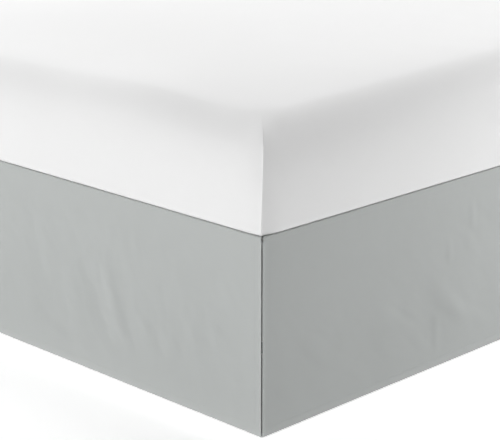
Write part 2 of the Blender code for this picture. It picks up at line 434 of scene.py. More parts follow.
@dataclass(frozen=True)
class LitFloor:
    """A pale floor that glows round the bed, so that it stays pale in the bed's shade."""

    name: str
    colour: tuple[float, float, float]
    half_bed: tuple[float, float]  # half the bed's width and length
    strength: float
    glow: tuple[tuple[float, float], ...] = (
        (-0.020, 0.00),
        (-0.012, 0.90),
        (0.000, 1.00),
        (0.014, 0.95),
        (0.030, 0.60),
        (0.080, 0.42),
        (0.150, 0.36),
        (0.800, 0.37),
        (1.800, 0.18),
    )  # at distances from the bed's sides, which are less than 0 under it
    mottle: float = 0.01
    mottle_size: float = 0.5
    roughness: float = 0.9

    def material(self) -> Material:
        """Make the floor's material.

        Returns:
            The material.
        """
        recipe = Recipe(self.name)
        place = recipe.add("ShaderNodeSeparateXYZ", {0: recipe.add("ShaderNodeTexCoord").outputs["Object"]})
        beyond = [
            recipe.maths("SUBTRACT", recipe.maths("ABSOLUTE", place.outputs[axis]), half)
            for axis, half in enumerate(self.half_bed)
        ]
        distance = recipe.maths("MAXIMUM", *beyond)
        start, end = self.glow[0][0], self.glow[-1][0]
        share = recipe.maths("DIVIDE", recipe.maths("SUBTRACT", distance, start), end - start)
        curve = recipe.add("ShaderNodeValToRGB", {0: share})
        ramp = curve.color_ramp.elements
        for spot, _ in self.glow[1:-1]:
            ramp.new((spot - start) / (end - start))
        for stop, (_, level) in zip(ramp, self.glow):
            stop.color = (level, level, level, 1.0)
        recipe.feed(recipe.shader, {"Emission Color": curve.outputs[0], "Emission Strength": self.strength})
        pattern = recipe.clouds(self.mottle_size, detail=2.0)
        recipe.feed(recipe.shader, {"Base Color": recipe.varied(self.colour, self.mottle, pattern)})
        recipe.feed(recipe.shader, {"Roughness": self.roughness})
        return recipe.material


# ---------------------------------------------------------------------------
# The bed's sizes
# ---------------------------------------------------------------------------


@dataclass(frozen=True)
class BedSizes:
    """The sizes that all pieces share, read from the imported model."""

    width: float
    length: float
    deck_top: float
    hem_level: float

    BASE_INSET = 0.007  # the base stands in from the skirt's faces

    @classmethod
    def from_frame(cls) -> "BedSizes":
        """Read the sizes of the base, the deck and the foot panel.

        Returns:
            The bed's sizes.
        """
        base_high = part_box("base")[1]
        return cls(
            width=2 * (base_high.x + cls.BASE_INSET),
            length=2 * (base_high.y + cls.BASE_INSET),
            deck_top=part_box("deck")[1].z,
            hem_level=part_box("foot_panel")[0].z,
        )

    @property
    def drop(self) -> float:
        """How far a panel hangs from the deck to its hem."""
        return self.deck_top - self.hem_level


# ---------------------------------------------------------------------------
# The skirt
# ---------------------------------------------------------------------------


@dataclass(frozen=True)
class Wave:
    """A slow swell along a panel."""

    height: float
    length: float
    phase: float


@dataclass(frozen=True)
class Crease:
    """A soft ridge, or a trough where its height is negative, across a panel's face."""

    along: float  # its middle, from the panel's left end as seen from outside
    up: float  # its middle, above the hem
    reach: float  # half its length
    lean: float  # degrees from upright, top towards the left end
    width: float
    height: float

    def at(self, along: float, up: float) -> float:
        """Find how far the crease stands out at a point of the panel.

        Args:
            along: the point's distance from the panel's left end.
            up: its height above the hem.

        Returns:
            The crease's own share of the relief.
        """
        lean = radians(self.lean)
        right = along - self.along
        rise = up - self.up
        across = right * cos(lean) + rise * sin(lean)
        down = rise * cos(lean) - right * sin(lean)
        return self.height * bell(across / self.width) * bell(down / self.reach)


def creased(*rows: tuple[float, ...]) -> tuple[Crease, ...]:
    """Make a crease of each row, which gives its fields in order."""
    return tuple(Crease(*row) for row in rows)


# For each panel, first its broad folds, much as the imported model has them, then its fine creases.
FOOT_CREASES = creased(
    (1.085, 0.16, 0.105, 27, 0.03, -0.0016), (1.125, 0.135, 0.075, 30, 0.026, 0.0014),
    (1.165, 0.15, 0.095, 22, 0.03, -0.0013), (1.205, 0.115, 0.06, 24, 0.024, 0.0012),
    (0.96, 0.05, 0.07, 58, 0.034, -0.0014), (1.33, 0.175, 0.09, 20, 0.034, 0.0008),
    (0.61, 0.21, 0.11, -24, 0.04, 0.0014), (0.54, 0.15, 0.1, -30, 0.034, -0.0014),
    (0.25, 0.12, 0.09, 26, 0.034, 0.0013), (1.114, 0.172, 0.052, 20, 0.015, 0.0024),
    (1.138, 0.108, 0.03, 42, 0.013, 0.0011), (1.062, 0.152, 0.026, 6, 0.015, -0.0013),
    (1.062, 0.216, 0.024, 14, 0.011, 0.0011), (1.098, 0.132, 0.018, 70, 0.01, 0.0014),
    (1.118, 0.088, 0.018, 24, 0.009, 0.001), (1.206, 0.136, 0.028, 34, 0.011, 0.0014),
    (1.196, 0.176, 0.022, 12, 0.012, -0.0008), (1.278, 0.134, 0.04, 4, 0.02, 0.0017),
    (1.346, 0.15, 0.022, 40, 0.013, 0.0013), (1.404, 0.166, 0.026, 58, 0.015, 0.0017),
    (1.1, 0.056, 0.026, 50, 0.015, 0.0017), (0.893, 0.176, 0.06, 2, 0.02, -0.0011),
    (1.0, 0.146, 0.052, 12, 0.024, 0.0017), (0.862, 0.085, 0.04, 30, 0.02, 0.0014),
    (0.908, 0.25, 0.026, 26, 0.013, 0.001), (0.985, 0.278, 0.02, 44, 0.011, 0.0007),
    (1.186, 0.288, 0.018, 34, 0.009, 0.0007), (1.3, 0.246, 0.022, 10, 0.012, 0.0007),
    (0.94, 0.048, 0.034, 66, 0.015, 0.002), (1.035, 0.036, 0.034, 70, 0.014, 0.002),
    (0.7, 0.18, 0.055, 24, 0.015, 0.0018), (0.56, 0.11, 0.055, -30, 0.015, 0.0018),
    (0.42, 0.2, 0.045, 34, 0.013, 0.0015), (0.3, 0.09, 0.05, 52, 0.014, 0.0018),
    (0.16, 0.17, 0.045, -22, 0.012, 0.0014),
)
RIGHT_CREASES = creased(
    (0.482, 0.085, 0.065, 46, 0.024, -0.001), (0.572, 0.13, 0.075, 50, 0.026, 0.0013),
    (0.475, 0.08, 0.06, 4, 0.026, -0.001), (0.35, 0.13, 0.075, 35, 0.03, 0.0009),
    (0.13, 0.09, 0.07, 48, 0.032, 0.0009), (0.82, 0.23, 0.11, -18, 0.04, -0.0013),
    (1.08, 0.16, 0.12, 26, 0.038, 0.0015), (1.15, 0.12, 0.09, 30, 0.032, -0.0013),
    (1.48, 0.2, 0.12, -28, 0.042, 0.0014), (1.76, 0.12, 0.08, 22, 0.034, -0.0012),
    (0.545, 0.116, 0.07, 50, 0.017, 0.0039), (0.497, 0.066, 0.034, 5, 0.01, 0.0016),
    (0.404, 0.128, 0.05, 58, 0.009, -0.0013), (0.345, 0.075, 0.036, 52, 0.012, 0.0019),
    (0.398, 0.062, 0.038, 60, 0.012, 0.002), (0.452, 0.056, 0.034, 58, 0.011, 0.0017),
    (0.15, 0.122, 0.055, 48, 0.016, 0.0029), (0.222, 0.078, 0.042, 58, 0.015, 0.0025),
    (0.276, 0.046, 0.03, 46, 0.013, 0.0017), (0.086, 0.056, 0.044, 52, 0.012, 0.0017),
    (0.6, 0.3, 0.028, 8, 0.008, 0.0012), (0.602, 0.232, 0.028, 46, 0.01, 0.0012),
    (0.53, 0.235, 0.022, 8, 0.008, 0.0009), (0.64, 0.064, 0.046, 60, 0.014, 0.002),
    (0.76, 0.15, 0.05, 40, 0.011, 0.0013), (0.93, 0.09, 0.05, 56, 0.011, 0.0014),
    (1.06, 0.22, 0.04, 30, 0.01, 0.0011), (1.26, 0.13, 0.056, 50, 0.012, 0.0015),
    (1.42, 0.08, 0.044, 60, 0.011, 0.0013), (1.62, 0.2, 0.046, -26, 0.011, 0.0012),
    (1.84, 0.11, 0.05, 34, 0.011, 0.0013),
)
LEFT_CREASES = creased(
    (0.28, 0.13, 0.09, -26, 0.034, 0.0013), (0.62, 0.21, 0.11, 22, 0.04, -0.0013),
    (0.9, 0.15, 0.11, -30, 0.036, 0.0015), (0.97, 0.11, 0.08, -34, 0.03, -0.0012),
    (1.33, 0.18, 0.12, 24, 0.04, 0.0013), (1.62, 0.12, 0.085, -20, 0.032, -0.0013),
    (1.83, 0.17, 0.08, 28, 0.034, 0.0012), (0.18, 0.1, 0.046, -50, 0.011, 0.0014),
    (0.4, 0.2, 0.04, -28, 0.01, 0.0011), (0.56, 0.08, 0.05, -62, 0.012, 0.0015),
    (0.76, 0.15, 0.044, 30, 0.01, 0.0012), (1.04, 0.11, 0.05, -52, 0.011, 0.0015),
    (1.18, 0.22, 0.036, -24, 0.009, 0.001), (1.44, 0.09, 0.048, -58, 0.011, 0.0014),
    (1.56, 0.17, 0.042, -40, 0.01, 0.0013), (1.72, 0.06, 0.05, -70, 0.012, 0.0014),
    (1.9, 0.12, 0.04, -48, 0.01, 0.0013),
)


@dataclass(frozen=True)
class Rumple:
    """Faint, uneven creases left by folding and hanging, all over a panel."""

    height: float
    width: float
    reach: float
    lean: float  # degrees from upright, top towards the left end
    seed: float

    FINER = (2.3, 1.7)  # how many times narrower and shorter the finer creases are
    FINER_SEED = 7.3
    FINER_SHARE = 0.4  # of the height

    def at(self, along: float, up: float) -> float:
        """Find how far the cloth stands out at a point of the panel.

        Args:
            along: the point's distance from the panel's left end.
            up: its height above the hem.

        Returns:
            The rumple's own share of the relief.
        """
        lean = radians(self.lean)
        across = along * cos(lean) + up * sin(lean)
        down = up * cos(lean) - along * sin(lean)
        right, rise = across / self.width, down / self.reach
        coarse = noise.noise(Vector((right, rise, self.seed)))
        narrower, shorter = self.FINER
        fine = noise.noise(Vector((narrower * right, shorter * rise, self.seed + self.FINER_SEED)))
        return self.height * (coarse + self.FINER_SHARE * fine)


@dataclass(frozen=True)
class SkirtPanel:
    """One cut of cloth seen from outside: its face on y = 0, its middle at x = 0.

    The top turns in over the edge of the base and is sewn to the deck. The bottom and the two
    ends are folded in to a hem with mitred corners, and the whole is then put in its place.
    """

    name: str
    node: str
    width: float  # of the side of the bed that it covers
    drop: float
    hem_level: float
    split_ends: tuple[bool, bool]
    turn: float  # degrees about the upright
    middle: tuple[float, float]
    waves: tuple[Wave, ...]
    creases: tuple[Crease, ...]
    rumple: Rumple
    pitch: float  # between rows, and between columns
    slot: float  # from a split end to the corner
    cloth: float = 0.0009
    fold: float = 0.0010  # the radius of the hem's fold
    hem: float = 0.020
    hem_rows: tuple[float, float] = (0.011, 0.005)  # between its stitches and its fold
    hem_gap: float = 0.003  # from its top to the next row or column
    hem_pitch: float = 0.0045  # of its inner side
    stitch_line: float = 0.0172  # from the hem's edge
    stitch_dent: float = 0.00014
    dent_width: float = 0.0008
    dent_pitch: float = 0.0007
    lip: float = 0.0014  # how far the folded edge springs out
    lip_width: float = 0.005
    lip_fade: float = 0.02  # under the seam
    turn_radius: float = 0.0022
    allowance: float = 0.018
    allowance_pitch: float = 0.005
    head_setback: float = 0.002
    end_hold: float = 0.06  # so near to its ends the panel's folds fade out
    seam_hold: float = 0.09  # and so near to its seam
    hem_slack: float = 0.30  # the share of the folds that is left at the hem
    slack_reach: float = 0.11  # above the hem, where they have all their height
    pucker: float = 0.00012
    pucker_length: float = 0.024
    pucker_from: tuple[float, float] = (0.003, 0.010)  # below the seam, where they come in
    pucker_to: tuple[float, float] = (0.012, 0.050)  # and where they die away
    pucker_patch: float = 0.11  # how long their uneven stretches are
    pucker_stray: float = 4.0  # how far they stray from their even spacing
    weld: float = 0.00002  # points of a mitred corner that are closer are one

    TURN_STEP = 0.22  # of the turned top, in radians
    FOLD_STEP = pi / 6
    PUCKER_SEED = 3.1

    def relief(self, along: float, up: float) -> float:
        """Find how far the face stands out from its flat plane.

        Args:
            along: the point's distance from the panel's left end.
            up: its height above the hem.

        Returns:
            The relief. The folds in it are nothing at the seam and at the ends.
        """
        folds = sum(w.height * sin(tau * along / w.length + w.phase) for w in self.waves)
        folds += sum(crease.at(along, up) for crease in self.creases)
        folds += self.rumple.at(along, up)
        ends = ease(0.0, self.end_hold, along) * ease(0.0, self.end_hold, self.width - along)
        hold = ease(0.0, self.seam_hold, self.drop - up) * ends
        slack = self.hem_slack + (1 - self.hem_slack) * ease(0.0, self.slack_reach, up)
        lip = self.lip * (1 - ease(0.0, self.lip_width, min(along, self.width - along)))
        lip *= ease(0.0, self.lip_fade, self.drop - up)
        return folds * hold * slack + lip + (self.puckers(along, up) - self.dent(along, up)) * ends

    def puckers(self, along: float, up: float) -> float:
        """Find the small gathers that the seam leaves under the turned top.

        Args:
            along: the point's distance from the panel's left end.
            up: its height above the hem.

        Returns:
            The gathers' share of the relief.
        """
        below = self.drop - up
        fade = ease(*self.pucker_from, below) * (1 - ease(*self.pucker_to, below))
        uneven = noise.noise(Vector((along / self.pucker_patch, self.PUCKER_SEED, self.rumple.seed)))
        phase = tau * along / self.pucker_length + self.pucker_stray * uneven
        return self.pucker * fade * (0.5 + uneven) * sin(phase)

    def dent(self, along: float, up: float) -> float:
        """Find how deep the hem's stitches pull the cloth in."""
        edge = min(along, self.width - along, up)
        return self.stitch_dent * bell((edge - self.stitch_line) / self.dent_width)

    def section(self) -> list[tuple[float, float]]:
        """List the rows from the sewn edge to the hem's fold.

        Returns:
            For each row, its inset from the face and its height above the hem.
        """
        radius = self.turn_radius
        insets = steps_between(self.allowance, radius, self.allowance_pitch)[:-1]
        angles = steps_between(0, pi / 2, self.TURN_STEP)
        rounded = [(radius * (1 - sin(a)), self.drop - radius * (1 - cos(a))) for a in angles]
        levels = steps_between(self.drop - radius, self.hem + self.hem_gap, self.pitch)[1:]
        face = [(0.0, up) for up in levels + self.hem_steps()]
        return [(inset, self.drop) for inset in insets] + rounded + face

    def hem_steps(self) -> list[float]:
        """List the distances from the hem's edge at which it has rows, from its top down."""
        dent = [self.stitch_line + step * self.dent_pitch for step in (2, 1, 0, -1, -2)]
        return [self.hem, *dent, *self.hem_rows, self.fold]

    def columns(self) -> list[float]:
        """List where the columns of the cloth's face stand.

        Returns:
            Their distances from the left end.
        """
        hem = self.hem_steps()[::-1] + [self.hem + self.hem_gap]
        middle = steps_between(hem[-1], self.width - hem[-1], self.pitch)[1:-1]
        return hem + middle + [self.width - along for along in reversed(hem)]

    def local(self, along: float, up: float, inset: float, depth: float) -> Vector:
        """Find a point of the cloth before the panel is put in its place.

        Args:
            along: its distance from the left end.
            up: its height above the hem.
            inset: how far the turned top has left the face.
            depth: how far it lies behind the outer face, in the hem's fold.

        Returns:
            The point.
        """
        mitre = inset + 2 * GAP if inset else 0.0
        stops = [max(self.slot, mitre) if split else self.head_setback for split in self.split_ends]
        span = self.width - stops[0] - stops[1]
        across = stops[0] + span * along / self.width - self.width / 2
        out = self.relief(along, up) if inset == 0.0 else 0.0
        return Vector((across, inset + depth - out, self.hem_level + up))

    def placement(self) -> Matrix:
        """Turn the panel to its side of the bed and move it there."""
        return Matrix.Translation((*self.middle, 0.0)) @ Matrix.Rotation(radians(self.turn), 4, "Z")

    def form(self) -> BMesh:
        """Shape the cloth's outer side, from the sewn edge over the face and round the hem.

        Returns:
            A new mesh, in place.
        """
        section, columns = self.section(), self.columns()
        form = bmesh.new()
        bmesh.ops.create_grid(form, x_segments=len(columns) - 1, y_segments=len(section) - 1, size=0.5)
        layers = [form.verts.layers.float.new(key) for key in ("along", "up", "inset", "depth")]
        form.verts.ensure_lookup_table()
        for index, vert in enumerate(form.verts):
            row, column = divmod(index, len(columns))
            inset, up = section[len(section) - 1 - row]
            for layer, value in zip(layers, (columns[column], up, inset, 0.0)):
                vert[layer] = value
        self.fold_hem(form, layers)
        uv = form.loops.layers.uv.new(WEAVE_UV)
        along, up, inset, depth = layers
        for face in form.faces:
            for loop in face.loops:
                vert = loop.vert
                loop[uv].uv = (vert[along], vert[up] + vert[inset] - vert[depth])
        for vert in form.verts:
            vert.co = self.local(*(vert[layer] for layer in layers))
        bmesh.ops.remove_doubles(form, verts=form.verts, dist=self.weld)
        bmesh.ops.recalc_face_normals(form, faces=form.faces)
        bmesh.ops.transform(form, matrix=self.placement(), verts=form.verts)
        return form

    def fold_hem(self, form: BMesh, layers: Sequence[object]) -> None:
        """Fold the bottom and the ends inwards and back over the inner side.

        Args:
            form: the panel's flat cut.
            layers: where each point keeps its place on the cloth.
        """
        along, up, inset, depth = layers
        top = self.drop - self.turn_radius
        edges = [
            edge
            for edge in form.edges
            if edge.is_boundary and all(v[inset] == 0.0 and v[up] <= top for v in edge.verts)
        ]
        edge_verts = {vert for edge in edges for vert in edge.verts}
        home = {vert: (vert[along], vert[up]) for vert in edge_verts}
        turns = [(self.fold, angle) for angle in steps_between(0.0, pi, self.FOLD_STEP)[1:]]
        flats = [(width, pi) for width in steps_between(self.fold, self.hem, self.hem_pitch)[1:]]
        for width, angle in turns + flats:
            grown = bmesh.ops.extrude_edge_only(form, edges=edges)["geom"]
            edges = [item for item in grown if isinstance(item, BMEdge)]
            verts = {item for item in grown if isinstance(item, BMVert)}
            places = {}
            for vert in verts:
                neighbours = (edge.other_vert(vert) for edge in vert.link_edges)
                places[vert] = home[next(old for old in neighbours if old not in verts)]
            reach = width - self.fold * sin(angle)
            for vert, (old_along, old_up) in places.items():
                vert[along] = min(max(old_along, reach), self.width - reach)
                if old_along <= self.fold:
                    vert[along] = reach
                if old_along >= self.width - self.fold:
                    vert[along] = self.width - reach
                vert[up] = max(old_up, reach) if old_up > self.fold else reach
                vert[inset] = 0.0
                vert[depth] = self.fold * (1 - cos(angle))
            home = places

    def build(self, finish: Material) -> Object:
        """Args:
            finish: the skirt's cloth.

        Returns:
            The panel.
        """
        panel = as_piece(self.name, self.form(), finish, [self.node], sharp=80.0)
        cloth = panel.modifiers.new("cloth", "SOLIDIFY")
        cloth.thickness = self.cloth
        cloth.offset = -1.0
        return panel


@dataclass(frozen=True)
class DeckSheet:
    """The sheet under the mattress that the panels are sewn to."""

    bed: BedSizes
    cloth: float = 0.0012
    edge: float = 0.0183  # the panels' turned tops lie outside it
    edge_radius: float = 0.0003

    def build(self, finish: Material) -> Object:
        """Make the deck, level with the base at the head end.

        Args:
            finish: the skirt's cloth.

        Returns:
            The deck.
        """
        low = Vector((self.edge - self.bed.width / 2, self.edge - self.bed.length / 2))
        high = Vector((-low.x, self.bed.length / 2 - self.bed.BASE_INSET))
        size = high - low
        form = bmesh.new()
        bmesh.ops.create_grid(form, x_segments=60, y_segments=80, size=0.5)
        bmesh.ops.scale(form, vec=(size.x, size.y, 1), verts=form.verts)
        middle = (low + high) / 2
        bmesh.ops.translate(form, vec=(middle.x, middle.y, self.bed.deck_top - self.cloth), verts=form.verts)
        risen(form, self.cloth)
        bevelled(form, square_edges(form), self.edge_radius, 2)
        chart_by_side(form)
        deck = as_piece("skirt_deck", form, finish, ["deck"])
        return deck


@dataclass(frozen=True)
class HemStitches:
    """The rows of stitches that hold the hems of a panel."""

    pitch: float = 0.0032
    length: float = 0.0025
    width: float = 0.00042
    height: float = 0.00030
    proud: float = 0.00004  # how far its middle stands before the cloth
    seam_gap: float = 0.012  # from the top of an upright row to the seam

    def build(self, panel: SkirtPanel, finish: Material) -> Object:
        """Sew along the bottom and up both ends of a panel.

        Args:
            panel: the panel that is hemmed.
            finish: the thread.

        Returns:
            All its stitches, as one piece.
        """
        form = bmesh.new()
        line, top = panel.stitch_line, panel.drop - self.seam_gap
        for along in steps_between(line, panel.width - line, self.pitch)[1:-1]:
            self.sew(form, panel, along, line, 0.0)
        for along in (line, panel.width - line):
            for up in steps_between(line, top, self.pitch)[1:-1]:
                self.sew(form, panel, along, up, pi / 2)
        return as_piece(panel.name + "_stitches", form, finish)

    def sew(self, form: BMesh, panel: SkirtPanel, along: float, up: float, heading: float) -> None:
        """Add one stitch.

        Args:
            form: the mesh that collects them.
            panel: the panel that it is sewn on.
            along: its distance from the panel's left end.
            up: its height above the hem.
            heading: 0 where the row is level, a quarter turn where it is upright.
        """
        size = Matrix.Diagonal((self.length / 2, self.height / 2, self.width / 2, 1.0))
        turn = Matrix.Rotation(heading, 4, "Y")
        spot = Matrix.Translation(panel.local(along, up, 0.0, -self.proud))
        place = panel.placement() @ spot @ turn @ size
        bmesh.ops.create_icosphere(form, subdivisions=1, radius=1.0, matrix=place)


@dataclass(frozen=True)
class Skirt:
    """The deck sheet, three hanging panels and their stitches."""

    bed: BedSizes
    cloth: Cloth
    thread: SewingThread

    def panels(self) -> list[SkirtPanel]:
        """Lay out the three panels.

        Returns:
            The foot panel, the right-hand one and the left-hand one.
        """
        bed = self.bed
        common = {"drop": bed.drop, "hem_level": bed.hem_level}
        foot = SkirtPanel(
            name="skirt_foot",
            node="foot_panel",
            width=bed.width,
            split_ends=(True, True),
            turn=0.0,
            middle=(0.0, -bed.length / 2),
            waves=(Wave(0.0008, 0.93, 0.6), Wave(0.0006, 0.41, 2.1)),
            creases=FOOT_CREASES,
            rumple=Rumple(height=0.0008, width=0.022, reach=0.034, lean=30.0, seed=1.7),
            pitch=0.0050,
            slot=0.0016,
            **common,
        )
        right = SkirtPanel(
            name="skirt_right",
            node="right_panel",
            width=bed.length,
            split_ends=(True, False),
            turn=90.0,
            middle=(bed.width / 2, 0.0),
            waves=(Wave(0.0009, 1.10, 2.6), Wave(0.0006, 0.47, 0.9)),
            creases=RIGHT_CREASES,
            rumple=Rumple(height=0.00045, width=0.020, reach=0.050, lean=56.0, seed=5.2),
            pitch=0.0056,
            slot=0.0004,
            **common,
        )
        left = SkirtPanel(
            name="skirt_left",
            node="left_panel",
            width=bed.length,
            split_ends=(False, True),
            turn=-90.0,
            middle=(-bed.width / 2, 0.0),
            waves=(Wave(0.0009, 0.98, 1.4), Wave(0.0006, 0.52, 3.0)),
            creases=LEFT_CREASES,
            rumple=Rumple(height=0.00045, width=0.020, reach=0.050, lean=-52.0, seed=9.4),
            pitch=0.0056,
            slot=0.0004,
            **common,
        )
        return [foot, right, left]

    def build(self) -> list[Object]:
        """Make all the skirt's pieces.

        Returns:
            The deck, and each panel followed by its stitches.
        """
        cloth, thread = self.cloth.material(), self.thread.material()
        pieces = [DeckSheet(self.bed).build(cloth)]
        for panel in self.panels():
            pieces.append(panel.build(cloth))
            pieces.append(HemStitches().build(panel, thread))
        return pieces


# ---------------------------------------------------------------------------
# The mattress and the base
# ---------------------------------------------------------------------------


# Where a mattress corner has points, as shares of its curves up to the seam and on from it.
BEFORE_SEAM = (0.0, 0.14, 0.28, 0.42, 0.56, 0.68, 0.79, 0.88, 0.94, 0.975, 1.0)
AFTER_SEAM = (0.03, 0.065, 0.12, 0.2, 0.3, 0.42, 0.56, 0.7, 0.85, 1.0)
RIDGE = ((0, 1.0), (-1, 0.6), (1, 0.6), (-2, 0.15), (2, 0.15))  # points from the seam, and shares
OUTWARDS = Vector((-0.71, -0.71))  # at a corner, where distances are measured inwards


def quadratic(start: Vector, middle: Vector, stop: Vector, share: float) -> Vector:
    """Read a curve that leaves its start towards its middle and comes from there to its stop."""
    return start * (1 - share) ** 2 + middle * 2 * share * (1 - share) + stop * share**2


@dataclass(frozen=True)
class Ring:
    """One level of the mattress, in from the bed's size, and the shape of its corners there.

    A corner turns slowly from the end face up to a sewn seam, where it breaks, and goes on to the
    long face.
    """

    inset: float
    height: float
    end_reach: float  # of the turn before the seam, from the corner of the box round the ring
    side_reach: float  # of the turn after it
    seam_side: float  # from the box's long side in to the seam
    seam_end: float  # from the box's end in to the seam
    steps: int  # up to the next ring

    END_BEND = 0.48  # of the reach, to where the curve from the end face bends
    SIDE_BEND = 0.58  # of the reach, to where the curve to the long face does

    def towards(self, before: "Ring", after: "Ring", beyond: "Ring", share: float) -> "Ring":
        """Read a smooth curve between this ring and the next.

        Args:
            before: the ring before this one.
            after: the ring after it.
            beyond: the ring after that.
            share: how far along, from 0 to 1.

        Returns:
            The ring there.
        """
        values = []
        for key in ("inset", "height", "end_reach", "side_reach", "seam_side", "seam_end"):
            a, b, c, d = (getattr(ring, key) for ring in (before, self, after, beyond))
            bend = 2 * a - 5 * b + 4 * c - d + (3 * (b - c) + d - a) * share
            values.append(b + 0.5 * share * (c - a + share * bend))
        return Ring(*values, steps=1)

    def corner(self, ridge: float) -> list[Vector]:
        """Draw a corner.

        Args:
            ridge: how far the seam stands out.

        Returns:
            Its points, from the end face to the long face, as distances in from the long side and
            from the end of the box.
        """
        seam = Vector((self.seam_side, self.seam_end))
        start, slow = Vector((self.end_reach, 0.0)), Vector((self.END_BEND * self.end_reach, 0.0))
        fast, stop = Vector((0.0, self.SIDE_BEND * self.side_reach)), Vector((0.0, self.side_reach))
        points = [quadratic(start, slow, seam, share) for share in BEFORE_SEAM]
        points += [quadratic(seam, fast, stop, share) for share in AFTER_SEAM]
        middle = len(BEFORE_SEAM) - 1
        for step, share in RIDGE:
            points[middle + step] += OUTWARDS * ridge * share
        return points


@dataclass(frozen=True)
class Pleat:
    """A narrow upright ridge, or a trough where its height is negative, beside a mattress corner."""

    along: float  # from the corner
    low: float  # its height above the deck, at both ends
    high: float
    fan: float  # how far its foot strays from the corner, for each metre down from its head
    width: float
    height: float

    SPREAD = 0.75  # of half its length, the scale on which it dies away

    def at(self, along: float, up: float) -> float:
        """Find how far the pleat stands out.

        Args:
            along: the point's distance from the corner.
            up: its height above the deck.

        Returns:
            The pleat's own share of the relief.
        """
        middle = self.along + self.fan * (self.high - up)
        half = (self.high - self.low) / 2
        reach = bell((up - self.low - half) / (self.SPREAD * half))
        return self.height * bell((along - middle) / self.width) * reach


END_PLEATS = (
    Pleat(0.024, 0.120, 0.190, 0.02, 0.0040, 0.00030),
    Pleat(0.036, 0.080, 0.190, 0.05, 0.0045, 0.00022),
    Pleat(0.050, 0.090, 0.180, 0.05, 0.0045, -0.00024),
    Pleat(0.068, 0.075, 0.185, 0.08, 0.0055, 0.00022),
    Pleat(0.092, 0.090, 0.175, 0.10, 0.0070, 0.00018),
)
SIDE_PLEATS = (
    Pleat(0.040, 0.060, 0.200, 0.04, 0.0110, -0.00050),
    Pleat(0.066, 0.080, 0.190, 0.12, 0.0120, 0.00040),
)


